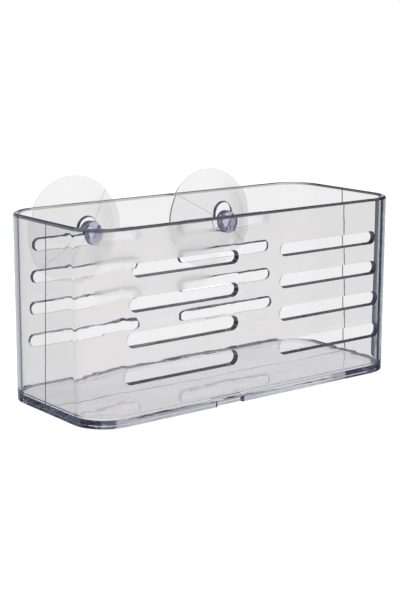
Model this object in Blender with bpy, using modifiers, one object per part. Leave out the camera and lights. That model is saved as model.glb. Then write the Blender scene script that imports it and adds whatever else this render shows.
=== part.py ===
"""Suction bathroom shelf: a clear slotted basket on two soft suction cups.

Metres, +Z up. The front of the basket looks to -Y and the lips of the cups look to +Y. The
origin is the middle of the underside of the whole object's box.
"""
import math

import bmesh
import bpy
from mathutils import Vector

# Basket
BASKET_WIDTH = 0.238
BASKET_DEPTH = 0.100
BASKET_HEIGHT = 0.115
CORNER_RADIUS = 0.022
WALL = 0.0032
RIM_ROUND_SHARE = 0.47
FOOT_HEIGHT = 0.0003
FOOT_WIDTH = 0.0100
FOOT_EDGE = 0.0006
FLOOR_THICKNESS = 0.0038
FLOOR_FILLET = 0.0030

# Notch in the front of the base
NOTCH_PLACE = -0.0211
NOTCH_WIDTH = 0.0200
NOTCH_HEIGHT = 0.0036
NOTCH_DEPTH = 0.0026

# Slots, as they are at the inside of their walls. Rows run from the top down, and their heights
# are shares of the basket's height. Margins are counted from the ends of the basket to the far
# ends of its left and right slots. The near ends are places along the wall.
FRONT_ROW_SHARES = (0.785, 0.614, 0.438, 0.254)
BACK_ROW_SHARES = (0.798, 0.626, 0.4545, 0.278)
FRONT_SLOT_HEIGHT = 0.0066
BACK_SLOT_HEIGHT = 0.0068
FRONT_HEIGHTENING = 0.0004
BACK_HEIGHTENING = 0.0
FRONT_END_MARGINS = (0.0276, 0.0228)
BACK_END_MARGINS = (0.0240, 0.0310)
FRONT_NEAR_ENDS = (-0.0164, 0.0182)
BACK_NEAR_ENDS = (-0.0200, 0.0139)
FRONT_LENGTHENING = 0.0020
BACK_LENGTHENING = 0.0016
SLOT_FLARE = 0.0009
KEYHOLE_WIDTH = 0.0140
KEYHOLE_RISE = 0.0137

# Suction cups. Places along the stem are counted from the outside of the back wall.
CUP_RISES = (0.0044, 0.0012)
CUP_REACH = 0.0140
CUP_PLAY = 0.0003
LIP_RADIUS = 0.0340
LIP_FLAT_WIDTH = 0.0040
LIP_THICKNESS = 0.0009
SHOULDER_RADIUS = 0.0085
SHOULDER_EDGE = 0.0006
NECK_RADIUS = 0.0040
HEAD_RADIUS = 0.0074
HEAD_LENGTH = 0.0048
HEAD_EDGE = 0.0013
DIMPLE_RADIUS = 0.0038
DIMPLE_DEPTH = 0.0012
DISH_DEPTH = 0.0104
# Each pair is a share of the way out to the lip and a share of the way to the wall.
DOME_SHARES = ((0.08, 0.10), (0.26, 0.27), (0.47, 0.47), (0.69, 0.69), (0.88, 0.86))
DISH_SHARES = ((0.87, 0.77), (0.68, 0.50), (0.50, 0.25), (0.33, 0.05))

OVERRUN = 0.0020
MERGE = 0.000001
CORNER_SEGMENTS = 12
RIM_SEGMENTS = 4
EDGE_SEGMENTS = 1
FILLET_SEGMENTS = 4
SLOT_SEGMENTS = 8
KEYHOLE_SEGMENTS = 10
HEAD_SEGMENTS = 4
CUP_SEGMENTS = 64

# The whole object's box is centred on the origin, so the basket stands forward of it.
BASKET_MIDDLE_Y = -CUP_REACH / 2
FRONT_Y = BASKET_MIDDLE_Y - BASKET_DEPTH / 2
BACK_Y = BASKET_MIDDLE_Y + BASKET_DEPTH / 2
FLOOR_TOP = FOOT_HEIGHT + FLOOR_THICKNESS


def clear_scene():
    for thing in list(bpy.data.objects):
        bpy.data.objects.remove(thing, do_unlink=True)


def clear_material(name, colour, roughness, ior):
    material = bpy.data.materials.new(name)
    material.use_nodes = True
    shader = material.node_tree.nodes["Principled BSDF"]
    shader.inputs["Base Color"].default_value = colour
    shader.inputs["Roughness"].default_value = roughness
    shader.inputs["IOR"].default_value = ior
    shader.inputs["Transmission Weight"].default_value = 1.0
    return material


def add_object(name, shape, collection):
    """Puts a bmesh into a new object and frees it."""
    mesh = bpy.data.meshes.new(name)
    bmesh.ops.recalc_face_normals(shape, faces=shape.faces)
    shape.to_mesh(mesh)
    shape.free()
    made = bpy.data.objects.new(name, mesh)
    collection.objects.link(made)
    return made


def add_box(shape, low, high):
    """Adds a box to a bmesh, between two corners, and returns its edges."""
    low, high = Vector(low), Vector(high)
    made = bmesh.ops.create_cube(shape, size=1.0)["verts"]
    for vert in made:
        vert.co = (low + high) / 2 + vert.co * (high - low)
    return list({edge for vert in made for edge in vert.link_edges})


def along(edge, axis):
    way = (edge.verts[0].co - edge.verts[1].co).normalized()
    return abs(way[axis]) > math.cos(math.radians(1))


def round_edges(shape, edges, radius, segments):
    bmesh.ops.bevel(shape, geom=edges, offset=radius, segments=segments, profile=0.5, affect="EDGES")


def outermost_face(shape, way):
    """Of the faces that look along a direction, the one that lies furthest that way."""
    facing = [face for face in shape.faces if face.normal.dot(way) > math.cos(math.radians(1))]
    return max(facing, key=lambda face: face.calc_center_median().dot(way))


def hollow(shape, way, wall, depth):
    """Presses a pocket into the outermost face, leaving a wall. Returns the edges of its rim,
    of its mouth and of its bottom.
    """
    face = outermost_face(shape, way)
    rim = list(face.edges)
    bmesh.ops.inset_region(shape, faces=[face], thickness=wall, use_even_offset=True)
    mouth = list(face.edges)
    pushed = bmesh.ops.extrude_face_region(shape, geom=[face])["geom"]
    moved = [item for item in pushed if isinstance(item, bmesh.types.BMVert)]
    bmesh.ops.translate(shape, verts=moved, vec=-way * depth)
    bmesh.ops.delete(shape, geom=[face], context="FACES_ONLY")
    bottom = [item for item in pushed if isinstance(item, bmesh.types.BMFace)][0]
    return rim, mouth, list(bottom.edges)


def make_basket(collection):
    shape = bmesh.new()
    half_width = BASKET_WIDTH / 2
    edges = add_box(shape, (-half_width, FRONT_Y, 0), (half_width, BACK_Y, BASKET_HEIGHT))
    round_edges(shape, [edge for edge in edges if along(edge, 2)], CORNER_RADIUS, CORNER_SEGMENTS)
    shape.normal_update()
    up = Vector((0, 0, 1))
    rim, mouth, floor = hollow(shape, up, WALL, BASKET_HEIGHT - FLOOR_TOP)
    foot = hollow(shape, -up, FOOT_WIDTH, FOOT_HEIGHT)[0]
    round_edges(shape, rim + mouth, WALL * RIM_ROUND_SHARE, RIM_SEGMENTS)
    round_edges(shape, floor, FLOOR_FILLET, FILLET_SEGMENTS)
    round_edges(shape, foot, FOOT_EDGE, EDGE_SEGMENTS)
    return add_object("shelf_basket", shape, collection)


def slot_places(row_shares, slot_height, heightening, margins, near_ends, lengthening):
    """Each slot's two ends, the height of its middle and its own height, from the top row down."""
    left_margin, right_margin = margins
    left_near, right_near = near_ends
    for row, share in enumerate(row_shares):
        middle = BASKET_HEIGHT * share
        height = slot_height + row * heightening
        reach = BASKET_WIDTH / 2 + row * lengthening
        yield left_margin - reach, left_near, middle, height
        yield right_near, reach - right_margin, middle, height


def front_slots():
    heights = (FRONT_ROW_SHARES, FRONT_SLOT_HEIGHT, FRONT_HEIGHTENING)
    return list(slot_places(*heights, FRONT_END_MARGINS, FRONT_NEAR_ENDS, FRONT_LENGTHENING))


def back_slots():
    heights = (BACK_ROW_SHARES, BACK_SLOT_HEIGHT, BACK_HEIGHTENING)
    return list(slot_places(*heights, BACK_END_MARGINS, BACK_NEAR_ENDS, BACK_LENGTHENING))


def keyhole_places():
    """The middle of each slot in the back wall's top row, where a cup's stem goes through."""
    return [((left + right) / 2, middle) for left, right, middle, height in back_slots()[:2]]


def flare(verts, middle_of, radius, inside, outside):
    """Widens a cutter towards the outside of its wall, about the middles of its round ends."""
    for vert in verts:
        middle_x, middle_z = middle_of(vert.co)
        share = 1 + SLOT_FLARE / radius * (vert.co.y - inside) / (outside - inside)
        vert.co.x = middle_x + (vert.co.x - middle_x) * share
        vert.co.z = middle_z + (vert.co.z - middle_z) * share


def add_slot(shape, place, inside, outside):
    """Adds a flared cutter with round ends to a bmesh, running along Y through a wall."""
    left, right, middle, height = place
    radius = height / 2
    over = OVERRUN * (outside - inside) / WALL
    near, far = sorted((inside - over, outside + over))
    older = set(shape.verts)
    edges = add_box(shape, (left, near, middle - radius), (right, far, middle + radius))
    round_edges(shape, [edge for edge in edges if along(edge, 1)], radius, SLOT_SEGMENTS)

    def end_middle(at):
        return (left + radius if at.x < (left + right) / 2 else right - radius), middle

    flare([vert for vert in shape.verts if vert not in older], end_middle, radius, inside, outside)


def make_slot_cutter(collection):
    shape = bmesh.new()
    for place in front_slots():
        add_slot(shape, place, FRONT_Y + WALL, FRONT_Y)
    for place in back_slots():
        add_slot(shape, place, BACK_Y - WALL, BACK_Y)
    bmesh.ops.remove_doubles(shape, verts=shape.verts, dist=MERGE)
    return add_object("slot_cutter", shape, collection)


def add_keyhole(shape, middle_x, middle_z):
    """Adds an arch to a bmesh that rises from the middle of a slot, flared as the slot is."""
    half = KEYHOLE_WIDTH / 2
    arch_z = middle_z + KEYHOLE_RISE - half
    low = (middle_x - half, BACK_Y - WALL - OVERRUN, middle_z)
    high = (middle_x + half, BACK_Y + OVERRUN, middle_z + KEYHOLE_RISE)
    older = set(shape.verts)
    edges = add_box(shape, low, high)
    top = [edge for edge in edges if along(edge, 1) and edge.verts[0].co.z > arch_z]
    round_edges(shape, top, half, KEYHOLE_SEGMENTS)

    def arch_middle(at):
        return middle_x, (arch_z if at.z > arch_z else at.z)

    flare([vert for vert in shape.verts if vert not in older], arch_middle, half, BACK_Y - WALL, BACK_Y)


def make_keyhole_cutter(collection):
    """Arches wide enough for a cup's head to be pressed through."""
    shape = bmesh.new()
    for middle_x, middle_z in keyhole_places():
        add_keyhole(shape, middle_x, middle_z)
    bmesh.ops.remove_doubles(shape, verts=shape.verts, dist=MERGE)
    return add_object("keyhole_cutter", shape, collection)


def make_notch_cutter(collection):
    shape = bmesh.new()
    low = (NOTCH_PLACE - NOTCH_WIDTH / 2, FRONT_Y - OVERRUN, -OVERRUN)
    high = (NOTCH_PLACE + NOTCH_WIDTH / 2, FRONT_Y + NOTCH_DEPTH, NOTCH_HEIGHT)
    add_box(shape, low, high)
    return add_object("notch_cutter", shape, collection)


def cut(target, cutter):
    cutter.hide_render = True
    cutter.display_type = "WIRE"
    modifier = target.modifiers.new(cutter.name, "BOOLEAN")
    modifier.operation = "DIFFERENCE"
    modifier.solver = "EXACT"
    modifier.object = cutter


def cup_profile():
    """Radii and heights down the side of a cup that stands on its lip, from the top of its head."""
    head_bottom = WALL + CUP_PLAY
    head_top = head_bottom + HEAD_LENGTH
    dish_top = DISH_DEPTH - CUP_REACH
    dimple = head_top - DIMPLE_DEPTH
    profile = [(0, dimple), (DIMPLE_RADIUS / 2, dimple), (DIMPLE_RADIUS, head_top)]
    for step in range(HEAD_SEGMENTS + 1):
        angle = math.pi / 2 * step / HEAD_SEGMENTS
        radius = HEAD_RADIUS - HEAD_EDGE * (1 - math.sin(angle))
        profile.append((radius, head_top - HEAD_EDGE * (1 - math.cos(angle))))
    profile += [(HEAD_RADIUS, head_bottom), (NECK_RADIUS, head_bottom), (NECK_RADIUS, -CUP_PLAY)]
    profile += [(SHOULDER_RADIUS - SHOULDER_EDGE, -CUP_PLAY), (SHOULDER_RADIUS, -CUP_PLAY - SHOULDER_EDGE)]
    for out, down in DOME_SHARES:
        profile.append((SHOULDER_RADIUS + (LIP_RADIUS - SHOULDER_RADIUS) * out, -CUP_REACH * down))
    profile += [(LIP_RADIUS, LIP_THICKNESS - CUP_REACH), (LIP_RADIUS, -CUP_REACH)]
    dish_radius = LIP_RADIUS - LIP_FLAT_WIDTH
    profile.append((dish_radius, -CUP_REACH))
    for out, down in DISH_SHARES:
        profile.append((dish_radius * out, dish_top - DISH_DEPTH * down))
    profile.append((0, dish_top))
    return profile


def make_cup_mesh():
    """The profile as a chain of edges, which the Screw modifier turns about the stem."""
    shape = bmesh.new()
    verts = [shape.verts.new((radius, 0, height)) for radius, height in cup_profile()]
    for first, second in zip(verts, verts[1:]):
        shape.edges.new((first, second))
    mesh = bpy.data.meshes.new("suction_cup")
    shape.to_mesh(mesh)
    shape.free()
    return mesh


def make_cup(name, mesh, place, collection):
    """Stands the cup's stem along Y, its lip to the back, with its origin on its turning axis."""
    cup = bpy.data.objects.new(name, mesh)
    collection.objects.link(cup)
    cup.location = place
    cup.rotation_euler = (math.pi / 2, 0, 0)
    turn = cup.modifiers.new("turn", "SCREW")
    turn.axis = "Z"
    turn.steps = CUP_SEGMENTS
    turn.render_steps = CUP_SEGMENTS
    turn.use_merge_vertices = True
    turn.merge_threshold = MERGE
    return cup


def main():
    clear_scene()
    parts = bpy.data.collections.new("suction_bathroom_shelf")
    cutters = bpy.data.collections.new("cutters")
    for collection in (parts, cutters):
        bpy.context.scene.collection.children.link(collection)

    basket = make_basket(parts)
    for make_cutter in (make_slot_cutter, make_keyhole_cutter, make_notch_cutter):
        cut(basket, make_cutter(cutters))
    basket.data.materials.append(clear_material("clear_polystyrene", (0.93, 0.94, 0.97, 1.0), 0.03, 1.59))

    cup_mesh = make_cup_mesh()
    cup_mesh.materials.append(clear_material("clear_soft_vinyl", (0.90, 0.91, 0.97, 1.0), 0.08, 1.52))
    names = ("left_suction_cup", "right_suction_cup")
    for name, (middle_x, middle_z), rise in zip(names, keyhole_places(), CUP_RISES):
        make_cup(name, cup_mesh, (middle_x, BACK_Y, middle_z + rise), parts)


main()
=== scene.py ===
import math

import bmesh
import bpy
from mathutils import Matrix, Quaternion, Vector


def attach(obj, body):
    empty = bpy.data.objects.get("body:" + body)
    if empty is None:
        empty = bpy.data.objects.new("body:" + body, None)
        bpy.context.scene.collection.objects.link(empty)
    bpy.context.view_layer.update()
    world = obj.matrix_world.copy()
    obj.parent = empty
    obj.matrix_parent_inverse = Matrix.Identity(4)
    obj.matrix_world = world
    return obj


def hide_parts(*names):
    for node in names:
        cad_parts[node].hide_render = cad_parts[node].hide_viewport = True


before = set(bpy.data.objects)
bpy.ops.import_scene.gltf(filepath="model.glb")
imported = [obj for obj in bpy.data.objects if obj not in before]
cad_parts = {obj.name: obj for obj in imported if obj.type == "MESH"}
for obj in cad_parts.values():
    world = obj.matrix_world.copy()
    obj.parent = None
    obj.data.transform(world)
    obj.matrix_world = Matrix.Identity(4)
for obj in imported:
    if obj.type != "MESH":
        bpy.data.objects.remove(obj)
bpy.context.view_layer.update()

# Basket, in metres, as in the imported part
WIDTH = 0.238
DEPTH = 0.100
HEIGHT = 0.115
CORNER = 0.022
WALL = 0.0032
RIM_ROUND = 0.0015
FOOT_HEIGHT = 0.0003
FOOT_WIDTH = 0.0100
FOOT_EDGE = 0.0006
FLOOR_THICKNESS = 0.0038
FLOOR_FILLET = 0.0030
NOTCH_PLACE = -0.0211
NOTCH_WIDTH = 0.0200
NOTCH_HEIGHT = 0.0036
NOTCH_DEPTH = 0.0026

# Slots, as they are at the inside of their walls, from the top row down. Margins are counted from
# the ends of the basket to the far ends of its left and right slots.
FRONT_SLOTS = {"shares": (0.785, 0.614, 0.438, 0.254), "height": 0.0066, "heightening": 0.0004,
               "margins": (0.0276, 0.0228), "near_ends": (-0.0164, 0.0182), "lengthening": 0.0020}
BACK_SLOTS = {"shares": (0.798, 0.626, 0.4545, 0.278), "height": 0.0068, "heightening": 0.0,
              "margins": (0.0240, 0.0310), "near_ends": (-0.0200, 0.0139), "lengthening": 0.0016}
SLOT_FLARE = 0.0009
SLOT_EDGE = 0.00045
KEYHOLE_WIDTH = 0.0140
KEYHOLE_RISE = 0.0137

# Suction cups, the left one first. Their mould lines are turned by the angles, in degrees.
SIDES = ("left", "right")
CUP_RISES = (0.0044, 0.0012)
CUP_TURNS = (43.4, -33.4)
CUP_REACH = 0.0140
CUP_PLAY = 0.0003
LIP_RADIUS = 0.0340
LIP_FLAT_WIDTH = 0.0040
LIP_THICKNESS = 0.0003
SHOULDER_RADIUS = 0.0085
SHOULDER_EDGE = 0.0006
NECK_RADIUS = 0.0040
HEAD_RADIUS = 0.0074
HEAD_LENGTH = 0.0048
HEAD_EDGE = 0.0013
DIMPLE_RADIUS = 0.0038
DIMPLE_DEPTH = 0.0012
DISH_DEPTH = 0.0104
DOME_SHARES = ((0.08, 0.10), (0.26, 0.27), (0.47, 0.47), (0.69, 0.69), (0.88, 0.86))
DISH_SHARES = ((0.87, 0.77), (0.68, 0.50), (0.50, 0.25), (0.33, 0.05))

MIDDLE_Y = -CUP_REACH / 2
FRONT_Y = MIDDLE_Y - DEPTH / 2
BACK_Y = MIDDLE_Y + DEPTH / 2
FLOOR_TOP = FOOT_HEIGHT + FLOOR_THICKNESS

# Fineness of the meshes
CORNER_SEGMENTS = 24
RIM_SEGMENTS = 7
FILLET_SEGMENTS = 6
FOOT_SEGMENTS = 4
SLOT_SEGMENTS = 12
KEYHOLE_SEGMENTS = 14
EDGE_SEGMENTS = 3
HEAD_SEGMENTS = 8
CUP_SEGMENTS = 96
OVERRUN = 0.0020
MERGE = 0.000001
ALIGNED = math.cos(math.radians(1))
SMOOTH_ANGLE = math.radians(40)
EDGE_ANGLE = math.radians(50)
NORMAL_WEIGHT = 100

# The two clear plastics
POLYSTYRENE = {"colour": (0.948, 0.938, 0.932, 1.0), "roughness": 0.0, "ior": 1.58,
               "absorb": (0.1, 0.15, 0.35, 1.0), "density": 2.8,
               "wave_scale": 75.0, "wave_strength": 0.04}
VINYL = {"colour": (0.955, 0.955, 0.945, 1.0), "roughness": 0.02, "ior": 1.52,
         "absorb": (0.3, 0.3, 0.6, 1.0), "density": 12.0,
         "wave_scale": 60.0, "wave_strength": 0.03}
WAVE_DETAIL = 2.0
WAVE_HEIGHT = 0.001

# Colours of details, among them painted shade on the basket's rim, floor, ledges, step and notch
# Painted shade along the rounded rim: darkest at the front, lighter at the back and the left end
PAINTED_RIM_SHADE = (0.02, 0.02, 0.024, 1.0)
PAINTED_BACK_RIM_SHADE = (0.35, 0.34, 0.35, 1.0)
PAINTED_END_RIM_SHADE = (0.16, 0.155, 0.20, 1.0)
# Painted shade: the basket's floor drawn greyer than its walls
PAINTED_FLOOR_SHADE = (0.83, 0.82, 0.825, 1.0)
# Dark colour of the seam, also the painted shade on the step under the floor
SEAM_AND_STEP_SHADE_COLOUR = (0.03, 0.03, 0.035, 1.0)
# Painted shade on the upward faces of the front slots' lower edges
PAINTED_LEDGE_SHADE = (0.35, 0.34, 0.33, 1.0)
# Painted shade on the notch's sides
PAINTED_NOTCH_SHADE = (0.05, 0.05, 0.07, 1.0)
HEAD_COLOUR = (0.50, 0.50, 0.68, 1.0)
MOULD_LINE_COLOUR = (0.62, 0.62, 0.64, 1.0)
MOULD_LINE_WIDTH = 0.0003

# Places of the basket's painted shade and seam. A pair says where a mark starts and where it is
# full, in metres or as a share of facing up. SKIN is how deep a mark on the outer faces goes.
SKIN = 0.0006
FLOOR_END = (FLOOR_TOP + 0.0001, FLOOR_TOP + 0.0005)
LYING_FACING = (0.3, 0.7)
LEDGE_FACING = (0.3, 0.6)
LEDGE_DEPTH = 2 * WALL
LEDGE_BOTTOM = 2 * FLOOR_TOP
STEP_REACH = 0.0005
STEP_MARGIN = 0.00002
STEP_SOFTNESS = 0.00001
BACK_RIM = (BACK_Y - 0.020, BACK_Y - 0.004)
END_RIM = (-0.100, -0.116)
END_RIM_DROP = 0.0005
RIM_MARGIN = 0.0003
RIM_SOFTNESS = 0.0005
SEAM_WIDTH = 0.0008
SEAM_LEAN = 0.043
SEAM_TURN = -0.0024
CHEEK_INSIDE = 0.0003
CHEEK_OUTSIDE = 0.0009
CHEEK_SOFTNESS = 0.0001

# Waves left by the moulding, in the front wall apart from its middle and in the floor. Three
# numbers say from where to where something lies and how soft its edges are.
LAND_WAVES = (16.0, 30.0, 110.0)
LAND_DETAIL = 1.5
LAND_STRENGTH = 0.25
FLOOR_STRENGTH = 0.35
LAND_START = (-0.020, -0.034)
PLAIN_MIDDLE = (-0.012, 0.014, 0.006)

# Slight dullness of the front wall's outside, in its upper left part and above the middle
LAND_DULLNESS = 0.115
DULL_START = (FRONT_Y + 0.010, FRONT_Y + 0.006)
DULL_LEFT_ACROSS = (-0.028, -0.045)
DULL_LEFT_UP = (0.064, 0.074)
DULL_TOP_ACROSS = (-0.004, 0.024, 0.006)
DULL_TOP_UP = (0.096, 0.102)
UPRIGHT_FACING = 0.2

# Camera, fitted to the photograph
CAMERA_AZIMUTH = -37.858
CAMERA_ELEVATION = 12.191
CAMERA_ROLL = 0.134
CAMERA_DISTANCE = 0.88239
CAMERA_LENS = 84.23
CAMERA_SENSOR = 36.0
CAMERA_NEAR = 0.01
CAMERA_TARGET = (-0.005595, -0.0070, 0.053886)

# Studio. Azimuths are in degrees from the wall's side round to the basket's right end.
WHITE = (1.0, 1.0, 1.0, 1.0)
STUDIO_STRENGTH = 1.02
ROOM_COLOUR = (0.15, 0.165, 0.22, 1.0)
GLOW = (112.0, 150.0, 8.0)
GLOW_COLOUR = (0.24, 0.26, 0.34, 1.0)
SHADE = (76.0, 104.0, 3.0)
SHADE_COLOUR = (0.03, 0.03, 0.045, 1.0)
PANEL_LEFT, PANEL_RIGHT = (-11.0, -7.0), (47.0, 51.0)
PANEL_BOTTOM, PANEL_TOP = (-24.0, -18.0), (12.0, 24.0)
PANEL_BRIGHTENING = (18.0, 30.0)
PANEL_COLOUR = (0.5, 0.54, 0.57, 1.0)
BRIGHT_PANEL_COLOUR = (0.9, 0.9, 0.92, 1.0)
STRIP_ACROSS = (58.0, 73.0, 3.0)
STRIP_UP = (-22.0, -4.0, 3.0)
STRIP_COLOUR = (0.42, 0.52, 0.58, 1.0)
OVERHEAD = (25.0, 40.0)
OVERHEAD_COLOUR = (0.35, 0.35, 0.36, 1.0)
TABLE = (-22.0, -30.0)
TABLE_COLOUR = (0.85, 0.85, 0.87, 1.0)
FAINT_COLOUR = (0.09, 0.09, 0.10, 1.0)
PATCH_LEFT, PATCH_RIGHT = (53.0, 55.0), (66.0, 72.0)
PATCH_COLOUR = (0.08, 0.08, 0.095, 1.0)
STUDIO_FLOOR_REACH = 6.0
STUDIO_FLOOR_COLOUR = (0.2, 0.2, 0.2, 1.0)
STUDIO_FLOOR_ROUGHNESS = 0.6
STUDIO_FLOOR_GLOW = 0.93
LIGHT_PLACE = (0.3, -0.4, 1.8)
LIGHT_SIZE = 1.6
LIGHT_POWER = 3.0
BOUNCES = 64

COLLECTION = bpy.context.scene.collection


def add_object(name, shape):
    mesh = bpy.data.meshes.new(name)
    bmesh.ops.recalc_face_normals(shape, faces=shape.faces)
    shape.to_mesh(mesh)
    shape.free()
    made = bpy.data.objects.new(name, mesh)
    COLLECTION.objects.link(made)
    return made


def add_box(shape, low, high):
    """Adds a box. Returns its edges, in the same order each time."""
    low, high = Vector(low), Vector(high)
    made = bmesh.ops.create_cube(shape, size=1.0)["verts"]
    for vert in made:
        vert.co = (low + high) / 2 + vert.co * (high - low)
    return list(dict.fromkeys(edge for vert in made for edge in vert.link_edges))


def along(edge, axis):
    way = (edge.verts[0].co - edge.verts[1].co).normalized()
    return abs(way[axis]) > ALIGNED


def round_edges(shape, edges, radius, segments):
    bmesh.ops.bevel(shape, geom=edges, offset=radius, segments=segments, profile=0.5, affect="EDGES")


def outermost_face(shape, way):
    facing = [face for face in shape.faces if face.normal.dot(way) > ALIGNED]
    return max(facing, key=lambda face: face.calc_center_median().dot(way))


def hollow(shape, way, wall, depth):
    """Presses a pocket into the outermost face. Returns the edges of its rim, mouth and bottom."""
    face = outermost_face(shape, way)
    rim = list(face.edges)
    bmesh.ops.inset_region(shape, faces=[face], thickness=wall, use_even_offset=True)
    mouth = list(face.edges)
    pushed = bmesh.ops.extrude_face_region(shape, geom=[face])["geom"]
    moved = [item for item in pushed if isinstance(item, bmesh.types.BMVert)]
    bmesh.ops.translate(shape, verts=moved, vec=-way * depth)
    bmesh.ops.delete(shape, geom=[face], context="FACES_ONLY")
    bottom = [item for item in pushed if isinstance(item, bmesh.types.BMFace)][0]
    return rim, mouth, list(bottom.edges)


def basket_blank():
    shape = bmesh.new()
    edges = add_box(shape, (-WIDTH / 2, FRONT_Y, 0), (WIDTH / 2, BACK_Y, HEIGHT))
    round_edges(shape, [edge for edge in edges if along(edge, 2)], CORNER, CORNER_SEGMENTS)
    shape.normal_update()
    up = Vector((0, 0, 1))
    rim, mouth, floor = hollow(shape, up, WALL, HEIGHT - FLOOR_TOP)
    foot = hollow(shape, -up, FOOT_WIDTH, FOOT_HEIGHT)[0]
    round_edges(shape, rim + mouth, RIM_ROUND, RIM_SEGMENTS)
    round_edges(shape, floor, FLOOR_FILLET, FILLET_SEGMENTS)
    round_edges(shape, foot, FOOT_EDGE, FOOT_SEGMENTS)
    return add_object("basket_shell", shape)


def slot_places(slots):
    """Each slot's two ends, the height of its middle and its own height."""
    left_margin, right_margin = slots["margins"]
    left_near, right_near = slots["near_ends"]
    for row, share in enumerate(slots["shares"]):
        middle = HEIGHT * share
        height = slots["height"] + row * slots["heightening"]
        reach = WIDTH / 2 + row * slots["lengthening"]
        yield left_margin - reach, left_near, middle, height
        yield right_near, reach - right_margin, middle, height


def keyhole_places():
    """The middle of each slot in the back wall's top row, above which its keyhole rises."""
    top_slots = list(slot_places(BACK_SLOTS))[:2]
    return [((left + right) / 2, middle) for left, right, middle, _ in top_slots]


def flare(shape, older, middle_of, radius, inside, outside):
    """Widens the newest cutter towards the outside of its wall, about the middles of its round
    ends.
    """
    for vert in [vert for vert in shape.verts if vert not in older]:
        middle_x, middle_z = middle_of(vert.co)
        share = 1 + SLOT_FLARE / radius * (vert.co.y - inside) / (outside - inside)
        vert.co.x = middle_x + (vert.co.x - middle_x) * share
        vert.co.z = middle_z + (vert.co.z - middle_z) * share


def add_slot(shape, place, inside, outside):
    left, right, middle, height = place
    radius = height / 2
    over = OVERRUN * (outside - inside) / WALL
    near, far = sorted((inside - over, outside + over))
    older = set(shape.verts)
    edges = add_box(shape, (left, near, middle - radius), (right, far, middle + radius))
    round_edges(shape, [edge for edge in edges if along(edge, 1)], radius, SLOT_SEGMENTS)

    def end_middle(at):
        return (left + radius if at.x < (left + right) / 2 else right - radius), middle

    flare(shape, older, end_middle, radius, inside, outside)


def slot_cutter():
    shape = bmesh.new()
    for place in slot_places(FRONT_SLOTS):
        add_slot(shape, place, FRONT_Y + WALL, FRONT_Y)
    for place in slot_places(BACK_SLOTS):
        add_slot(shape, place, BACK_Y - WALL, BACK_Y)
    bmesh.ops.remove_doubles(shape, verts=shape.verts, dist=MERGE)
    return add_object("slot_cutter", shape)


def add_keyhole(shape, middle_x, middle_z):
    half = KEYHOLE_WIDTH / 2
    arch_z = middle_z + KEYHOLE_RISE - half
    low = (middle_x - half, BACK_Y - WALL - OVERRUN, middle_z)
    high = (middle_x + half, BACK_Y + OVERRUN, middle_z + KEYHOLE_RISE)
    older = set(shape.verts)
    edges = add_box(shape, low, high)
    top = [edge for edge in edges if along(edge, 1) and edge.verts[0].co.z > arch_z]
    round_edges(shape, top, half, KEYHOLE_SEGMENTS)

    def arch_middle(at):
        return middle_x, (arch_z if at.z > arch_z else at.z)

    flare(shape, older, arch_middle, half, BACK_Y - WALL, BACK_Y)


def keyhole_cutter():
    shape = bmesh.new()
    for middle_x, middle_z in keyhole_places():
        add_keyhole(shape, middle_x, middle_z)
    bmesh.ops.remove_doubles(shape, verts=shape.verts, dist=MERGE)
    return add_object("keyhole_cutter", shape)


def notch_cutter():
    shape = bmesh.new()
    low = (NOTCH_PLACE - NOTCH_WIDTH / 2, FRONT_Y - OVERRUN, -OVERRUN)
    high = (NOTCH_PLACE + NOTCH_WIDTH / 2, FRONT_Y + NOTCH_DEPTH, NOTCH_HEIGHT)
    add_box(shape, low, high)
    return add_object("notch_cutter", shape)


def apply_modifiers(thing):
    graph = bpy.context.evaluated_depsgraph_get()
    mesh = bpy.data.meshes.new_from_object(thing.evaluated_get(graph))
    old = thing.data
    thing.modifiers.clear()
    thing.data = mesh
    bpy.data.meshes.remove(old)
    mesh.name = thing.name


def smooth(thing):
    """Smooth shading in which the flat faces stay flat."""
    thing.data.shade_smooth()
    thing.data.set_sharp_from_angle(angle=SMOOTH_ANGLE)
    weigh = thing.modifiers.new("weigh", "WEIGHTED_NORMAL")
    weigh.weight = NORMAL_WEIGHT
    weigh.keep_sharp = True
    apply_modifiers(thing)


def make_basket(material):
    basket = basket_blank()
    for cutter in (slot_cutter(), keyhole_cutter(), notch_cutter()):
        cut = basket.modifiers.new(cutter.name, "BOOLEAN")
        cut.operation = "DIFFERENCE"
        cut.solver = "EXACT"
        cut.object = cutter
        apply_modifiers(basket)
        bpy.data.objects.remove(cutter, do_unlink=True)
    soften = basket.modifiers.new("soften", "BEVEL")
    soften.width = SLOT_EDGE
    soften.segments = EDGE_SEGMENTS
    soften.limit_method = "ANGLE"
    soften.angle_limit = EDGE_ANGLE
    apply_modifiers(basket)
    smooth(basket)
    basket.data.materials.clear()
    basket.data.materials.append(material)
    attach(basket, "basket")
    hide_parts("shelf_basket")


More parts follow.
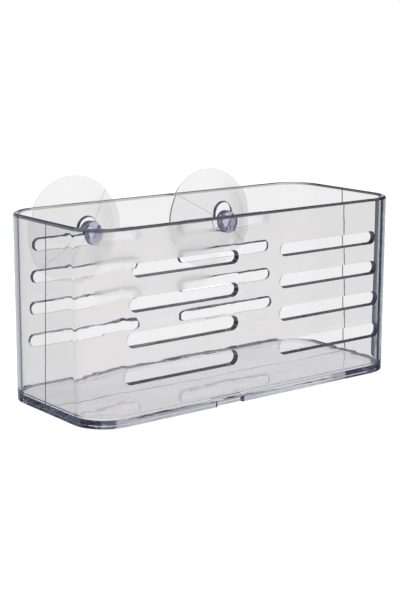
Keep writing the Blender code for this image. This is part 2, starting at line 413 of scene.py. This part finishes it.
def cup_profile():
    """Radii and heights from the dimple in the head, over the dome and lip, to the dish's top."""
    head_bottom = WALL + CUP_PLAY
    head_top = head_bottom + HEAD_LENGTH
    dish_top = DISH_DEPTH - CUP_REACH
    dimple = head_top - DIMPLE_DEPTH
    profile = [(0, dimple), (DIMPLE_RADIUS / 2, dimple), (DIMPLE_RADIUS, head_top)]
    for step in range(HEAD_SEGMENTS + 1):
        angle = math.pi / 2 * step / HEAD_SEGMENTS
        radius = HEAD_RADIUS - HEAD_EDGE * (1 - math.sin(angle))
        profile.append((radius, head_top - HEAD_EDGE * (1 - math.cos(angle))))
    profile += [(HEAD_RADIUS, head_bottom), (NECK_RADIUS, head_bottom), (NECK_RADIUS, -CUP_PLAY)]
    profile.append((SHOULDER_RADIUS - SHOULDER_EDGE, -CUP_PLAY))
    profile.append((SHOULDER_RADIUS, -CUP_PLAY - SHOULDER_EDGE))
    for out, down in DOME_SHARES:
        profile.append((SHOULDER_RADIUS + (LIP_RADIUS - SHOULDER_RADIUS) * out, -CUP_REACH * down))
    profile += [(LIP_RADIUS, LIP_THICKNESS - CUP_REACH), (LIP_RADIUS, -CUP_REACH)]
    dish_radius = LIP_RADIUS - LIP_FLAT_WIDTH
    profile.append((dish_radius, -CUP_REACH))
    for out, down in DISH_SHARES:
        profile.append((dish_radius * out, dish_top - DISH_DEPTH * down))
    profile.append((0, dish_top))
    return profile


def make_cup(side, place, turned, material):
    """Turns the profile round the stem and notes how far each point lies from the mould line."""
    shape = bmesh.new()
    verts = [shape.verts.new((radius, 0, height)) for radius, height in cup_profile()]
    for first, second in zip(verts, verts[1:]):
        shape.edges.new((first, second))
    cup = add_object(side + "_cup_body", shape)
    cup.location = place
    cup.rotation_euler = (math.pi / 2, 0, 0)
    turn = cup.modifiers.new("turn", "SCREW")
    turn.steps = turn.render_steps = CUP_SEGMENTS
    turn.use_merge_vertices = True
    turn.merge_threshold = MERGE
    apply_modifiers(cup)
    smooth(cup)
    across = cup.data.attributes.new("across", "FLOAT", "POINT")
    cosine, sine = math.cos(math.radians(turned)), math.sin(math.radians(turned))
    for vert, off in zip(cup.data.vertices, across.data):
        off.value = vert.co.y * cosine - vert.co.x * sine
    cup.data.materials.clear()
    cup.data.materials.append(material)
    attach(cup, side + "_cup")
    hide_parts(side + "_suction_cup")


def feed(tree, value, socket):
    """Gives a socket a number, a colour or another node's output."""
    if isinstance(value, bpy.types.NodeSocket):
        tree.links.new(value, socket)
    else:
        socket.default_value = value


def reckon(tree, operation, *values):
    node = tree.nodes.new("ShaderNodeMath")
    node.operation = operation
    for slot, value in enumerate(values):
        feed(tree, value, node.inputs[slot])
    return node.outputs[0]


def less(tree, value, limit):
    return reckon(tree, "LESS_THAN", value, limit)


def more(tree, value, limit):
    return reckon(tree, "GREATER_THAN", value, limit)


def opposite(tree, mask):
    return reckon(tree, "SUBTRACT", 1.0, mask)


def away(tree, value, middle):
    """How far a value lies from a middle, on either side."""
    return reckon(tree, "ABSOLUTE", reckon(tree, "SUBTRACT", value, middle))


def product(tree, *masks):
    """Is 1 only where every mask is 1."""
    result = masks[0]
    for mask in masks[1:]:
        result = reckon(tree, "MULTIPLY", result, mask)
    return result


def split(tree, vector):
    """The three parts of a vector."""
    node = tree.nodes.new("ShaderNodeSeparateXYZ")
    tree.links.new(vector, node.inputs[0])
    return node.outputs


def ramp(tree, value, start, end):
    """Goes smoothly from 0 at the start to 1 at the end."""
    node = tree.nodes.new("ShaderNodeMapRange")
    node.interpolation_type = "SMOOTHSTEP"
    feed(tree, value, node.inputs["Value"])
    node.inputs["From Min"].default_value = start
    node.inputs["From Max"].default_value = end
    return node.outputs["Result"]


def band(tree, value, rise, fall):
    """Goes smoothly from 0 to 1 over the first range and back to 0 over the second."""
    return reckon(tree, "SUBTRACT", ramp(tree, value, *rise), ramp(tree, value, *fall))


def between(tree, value, low, high, soft):
    """Is 1 from low to high and fades to 0 over a soft edge beyond each."""
    return band(tree, value, (low - soft, low), (high, high + soft))


def mix(tree, share, first, second):
    """Mixes two colours, which a mix node has in its inputs 6 and 7 and its output 2."""
    node = tree.nodes.new("ShaderNodeMix")
    node.data_type = "RGBA"
    feed(tree, share, node.inputs["Factor"])
    feed(tree, first, node.inputs[6])
    feed(tree, second, node.inputs[7])
    return node.outputs[2]


def add_waves(tree, vector, scale, detail, strength):
    """Adds waves to a plastic's surface, on top of those that it has."""
    noise = tree.nodes.new("ShaderNodeTexNoise")
    noise.inputs["Scale"].default_value = scale
    noise.inputs["Detail"].default_value = detail
    tree.links.new(vector, noise.inputs["Vector"])
    bump = tree.nodes.new("ShaderNodeBump")
    bump.inputs["Distance"].default_value = WAVE_HEIGHT
    feed(tree, strength, bump.inputs["Strength"])
    tree.links.new(noise.outputs["Fac"], bump.inputs["Height"])
    normal = tree.nodes["Principled BSDF"].inputs["Normal"]
    if normal.is_linked:
        tree.links.new(normal.links[0].from_socket, bump.inputs["Normal"])
    tree.links.new(bump.outputs["Normal"], normal)


def clear_plastic(name, colour, roughness, ior, absorb, density, wave_scale, wave_strength):
    """A clear moulded plastic: slight waves in its surface and a tint that grows with its depth."""
    material = bpy.data.materials.new(name)
    material.use_nodes = True
    tree = material.node_tree
    shader = tree.nodes["Principled BSDF"]
    shader.inputs["Base Color"].default_value = colour
    shader.inputs["Roughness"].default_value = roughness
    shader.inputs["IOR"].default_value = ior
    shader.inputs["Transmission Weight"].default_value = 1.0
    place = tree.nodes.new("ShaderNodeTexCoord")
    add_waves(tree, place.outputs["Object"], wave_scale, WAVE_DETAIL, wave_strength)
    tint = tree.nodes.new("ShaderNodeVolumeAbsorption")
    tint.inputs["Color"].default_value = absorb
    tint.inputs["Density"].default_value = density
    tree.links.new(tint.outputs["Volume"], tree.nodes["Material Output"].inputs["Volume"])
    return material


def ledge_shade_mask(tree, y, z, facing_up):
    """The lower edges of the front slots, where shade is painted."""
    in_front = less(tree, y, FRONT_Y + LEDGE_DEPTH)
    return product(tree, in_front, more(tree, z, LEDGE_BOTTOM), ramp(tree, facing_up, *LEDGE_FACING))


def step_shade_mask(tree, x, y, z):
    """Shade painted on the left end of the small step between the foot rim and the recess under the
    floor.
    """
    inward = product(tree, less(tree, away(tree, x, 0.0), WIDTH / 2 - FOOT_WIDTH / 2),
                     less(tree, away(tree, y, MIDDLE_Y), DEPTH / 2 - FOOT_WIDTH / 2),
                     less(tree, x, FOOT_WIDTH - WIDTH / 2 + STEP_REACH))
    height = between(tree, z, STEP_MARGIN, FOOT_HEIGHT - STEP_MARGIN, STEP_SOFTNESS)
    return product(tree, inward, height)


def rim_painted_shade(tree, x, y, z):
    """Where the rounded rim is, a little lower at the left end, and the shade painted on it there.
    """
    left = ramp(tree, x, *END_RIM)
    colour = mix(tree, left, PAINTED_RIM_SHADE, PAINTED_END_RIM_SHADE)
    colour = mix(tree, ramp(tree, y, *BACK_RIM), colour, PAINTED_BACK_RIM_SHADE)
    start = reckon(tree, "MULTIPLY_ADD", left, -END_RIM_DROP, HEIGHT - RIM_ROUND - RIM_MARGIN)
    return ramp(tree, reckon(tree, "SUBTRACT", z, start), 0.0, RIM_SOFTNESS), colour


def seam_mask(tree, x, y, z):
    """The fine seam on the outside of both ends and under the floor, round the mould's middle."""
    lean = reckon(tree, "MULTIPLY_ADD", z, SEAM_LEAN, SEAM_TURN)
    bend = product(tree, lean, reckon(tree, "DIVIDE", x, WIDTH / 2))
    level = reckon(tree, "SUBTRACT", y, bend)
    half = SEAM_WIDTH / 2
    line = between(tree, level, MIDDLE_Y - half, MIDDLE_Y + half, SEAM_WIDTH / 4)
    ends = product(tree, more(tree, away(tree, x, 0.0), WIDTH / 2 - SKIN), more(tree, z, FLOOR_TOP))
    return product(tree, line, reckon(tree, "MAXIMUM", ends, less(tree, z, SKIN)))


def notch_shade_mask(tree, x, y, z):
    """The two sides of the notch, where shade is painted."""
    half = NOTCH_WIDTH / 2
    beside = between(tree, away(tree, x, NOTCH_PLACE), half - CHEEK_INSIDE, half + CHEEK_OUTSIDE,
                     CHEEK_SOFTNESS)
    return product(tree, beside, less(tree, z, NOTCH_HEIGHT + SKIN),
                   less(tree, y, FRONT_Y + NOTCH_DEPTH))


def dull_mask(tree, x, y, z, upright):
    """The parts of the front wall's outside that are slightly dull."""
    left = product(tree, ramp(tree, x, *DULL_LEFT_ACROSS), ramp(tree, z, *DULL_LEFT_UP))
    top = product(tree, between(tree, x, *DULL_TOP_ACROSS), ramp(tree, z, *DULL_TOP_UP))
    return product(tree, ramp(tree, y, *DULL_START), reckon(tree, "MAXIMUM", left, top),
                   less(tree, upright, UPRIGHT_FACING))


def shade_basket(material):
    """Paints shade on the floor, the front slots' lower edges, the step under the floor, the rim and
    the notch's sides, and draws the seam. Adds the front wall's and the floor's waves and the wall's
    dullness.
    """
    tree = material.node_tree
    shader = tree.nodes["Principled BSDF"]
    place = tree.nodes.new("ShaderNodeTexCoord")
    x, y, z = split(tree, place.outputs["Object"])
    facing_up = split(tree, place.outputs["Normal"])[2]
    upright = reckon(tree, "ABSOLUTE", facing_up)
    low = opposite(tree, ramp(tree, z, *FLOOR_END))
    lying = product(tree, low, ramp(tree, upright, *LYING_FACING))
    colour = tuple(shader.inputs["Base Color"].default_value)
    # Painted shade on the floor, slot ledges, step, rim and notch sides, and the seam's own dark
    # line
    shades_and_seam = ((lying, PAINTED_FLOOR_SHADE),
             (ledge_shade_mask(tree, y, z, facing_up), PAINTED_LEDGE_SHADE),
             (step_shade_mask(tree, x, y, z), SEAM_AND_STEP_SHADE_COLOUR),
             rim_painted_shade(tree, x, y, z),
             (seam_mask(tree, x, y, z), SEAM_AND_STEP_SHADE_COLOUR),
             (notch_shade_mask(tree, x, y, z), PAINTED_NOTCH_SHADE))
    for mask, tint in shades_and_seam:
        colour = mix(tree, mask, colour, tint)
    tree.links.new(colour, shader.inputs["Base Color"])

    dull = dull_mask(tree, x, y, z, upright)
    tree.links.new(product(tree, dull, LAND_DULLNESS), shader.inputs["Roughness"])

    sides = opposite(tree, between(tree, x, *PLAIN_MIDDLE))
    lands = product(tree, ramp(tree, y, *LAND_START), sides, opposite(tree, low))
    floor_waves = product(tree, lying, FLOOR_STRENGTH)
    stretch = tree.nodes.new("ShaderNodeMapping")
    stretch.inputs["Scale"].default_value = LAND_WAVES
    tree.links.new(place.outputs["Object"], stretch.inputs["Vector"])
    strength = reckon(tree, "MULTIPLY_ADD", lands, LAND_STRENGTH, floor_waves)
    add_waves(tree, stretch.outputs["Vector"], 1.0, LAND_DETAIL, strength)


def shade_cups(material):
    """Tints the heads, which are thick, and draws the fine mould line across each lip."""
    tree = material.node_tree
    shader = tree.nodes["Principled BSDF"]
    plain = tuple(shader.inputs["Base Color"].default_value)
    place = tree.nodes.new("ShaderNodeTexCoord")
    z = split(tree, place.outputs["Object"])[2]
    colour = mix(tree, ramp(tree, z, WALL, WALL + SKIN), plain, HEAD_COLOUR)
    across = tree.nodes.new("ShaderNodeAttribute")
    across.attribute_name = "across"
    off = reckon(tree, "ABSOLUTE", across.outputs["Fac"])
    line = opposite(tree, ramp(tree, off, MOULD_LINE_WIDTH / 2, MOULD_LINE_WIDTH))
    outside = more(tree, split(tree, place.outputs["Normal"])[2], 0.0)
    line = product(tree, line, outside, less(tree, z, 0.0))
    tree.links.new(mix(tree, line, colour, MOULD_LINE_COLOUR), shader.inputs["Base Color"])


def make_floor():
    shape = bmesh.new()
    bmesh.ops.create_grid(shape, x_segments=1, y_segments=1, size=STUDIO_FLOOR_REACH)
    floor = add_object("studio_floor", shape)
    material = bpy.data.materials.new("studio_white")
    material.use_nodes = True
    shader = material.node_tree.nodes["Principled BSDF"]
    shader.inputs["Base Color"].default_value = STUDIO_FLOOR_COLOUR
    shader.inputs["Roughness"].default_value = STUDIO_FLOOR_ROUGHNESS
    shader.inputs["Emission Color"].default_value = WHITE
    shader.inputs["Emission Strength"].default_value = STUDIO_FLOOR_GLOW
    floor.data.materials.append(material)
    floor.visible_transmission = False
    floor.visible_glossy = False


def make_light():
    data = bpy.data.lights.new("top_light", "AREA")
    data.shape = "DISK"
    data.size = LIGHT_SIZE
    data.energy = LIGHT_POWER
    light = bpy.data.objects.new("top_light", data)
    COLLECTION.objects.link(light)
    light.location = LIGHT_PLACE
    away_from_target = Vector(LIGHT_PLACE) - Vector(CAMERA_TARGET)
    light.rotation_euler = away_from_target.to_track_quat("Z", "Y").to_euler()


def reflected_room(tree, azimuth, elevation, once):
    """What light sees that the plastic has reflected: a dark room with a glow at its front right,
    a panel, a strip beside it, the table below and a ceiling. Light that was reflected once sees
    the table and the ceiling brighter than light that was reflected more often.
    """
    colour = mix(tree, between(tree, azimuth, *GLOW), ROOM_COLOUR, GLOW_COLOUR)
    colour = mix(tree, between(tree, azimuth, *SHADE), colour, SHADE_COLOUR)
    panel = product(tree, band(tree, azimuth, PANEL_LEFT, PANEL_RIGHT),
                    band(tree, elevation, PANEL_BOTTOM, PANEL_TOP))
    brightening = ramp(tree, azimuth, *PANEL_BRIGHTENING)
    colour = mix(tree, panel, colour, mix(tree, brightening, PANEL_COLOUR, BRIGHT_PANEL_COLOUR))
    strip = product(tree, between(tree, azimuth, *STRIP_ACROSS),
                    between(tree, elevation, *STRIP_UP))
    colour = mix(tree, strip, colour, STRIP_COLOUR)
    overhead = mix(tree, once, FAINT_COLOUR, OVERHEAD_COLOUR)
    colour = mix(tree, ramp(tree, elevation, *OVERHEAD), colour, overhead)
    table = mix(tree, once, FAINT_COLOUR, TABLE_COLOUR)
    return mix(tree, ramp(tree, elevation, *TABLE), colour, table)


def make_world():
    """White to the eye. Light that only passes through the plastic sees white too, apart from a
    dark patch on the right, and light that it has reflected sees a room.
    """
    world = bpy.data.worlds.new("studio")
    bpy.context.scene.world = world
    world.use_nodes = True
    tree = world.node_tree
    place = tree.nodes.new("ShaderNodeTexCoord")
    path = tree.nodes.new("ShaderNodeLightPath")
    x, y, z = split(tree, place.outputs["Generated"])
    azimuth = reckon(tree, "MULTIPLY", reckon(tree, "ARCTAN2", x, y), 180 / math.pi)
    elevation = reckon(tree, "MULTIPLY", reckon(tree, "ARCSINE", z), 180 / math.pi)
    once = less(tree, path.outputs["Glossy Depth"], 1.5)
    reflected = more(tree, path.outputs["Glossy Depth"], 0.5)
    through = mix(tree, band(tree, azimuth, PATCH_LEFT, PATCH_RIGHT), WHITE, PATCH_COLOUR)
    room = reflected_room(tree, azimuth, elevation, once)
    seen = mix(tree, reflected, through, room)
    seen = mix(tree, path.outputs["Is Camera Ray"], seen, WHITE)
    background = tree.nodes["Background"]
    tree.links.new(seen, background.inputs["Color"])
    background.inputs["Strength"].default_value = STUDIO_STRENGTH


def make_camera():
    data = bpy.data.cameras.new("camera")
    data.lens = CAMERA_LENS
    data.sensor_width = CAMERA_SENSOR
    data.clip_start = CAMERA_NEAR
    camera = bpy.data.objects.new("camera", data)
    COLLECTION.objects.link(camera)
    azimuth, elevation = math.radians(CAMERA_AZIMUTH), math.radians(CAMERA_ELEVATION)
    flat = math.cos(elevation)
    back = Vector((math.sin(azimuth) * flat, -math.cos(azimuth) * flat, math.sin(elevation)))
    camera.location = Vector(CAMERA_TARGET) + back * CAMERA_DISTANCE
    roll = Quaternion((0, 0, 1), math.radians(CAMERA_ROLL))
    camera.rotation_euler = (back.to_track_quat("Z", "Y") @ roll).to_euler()
    bpy.context.scene.camera = camera


make_camera()
make_world()
make_floor()
make_light()
basket_plastic = clear_plastic("clear_polystyrene", **POLYSTYRENE)
cup_plastic = clear_plastic("clear_soft_vinyl", **VINYL)
shade_basket(basket_plastic)
shade_cups(cup_plastic)
make_basket(basket_plastic)
for side, (middle_x, middle_z), rise, turned in zip(SIDES, keyhole_places(), CUP_RISES, CUP_TURNS):
    make_cup(side, (middle_x, BACK_Y, middle_z + rise), turned, cup_plastic)

bpy.context.scene.view_settings.view_transform = "Standard"
bpy.context.scene.cycles.max_bounces = BOUNCES
bpy.context.scene.cycles.transmission_bounces = BOUNCES
bpy.context.scene.cycles.glossy_bounces = BOUNCES
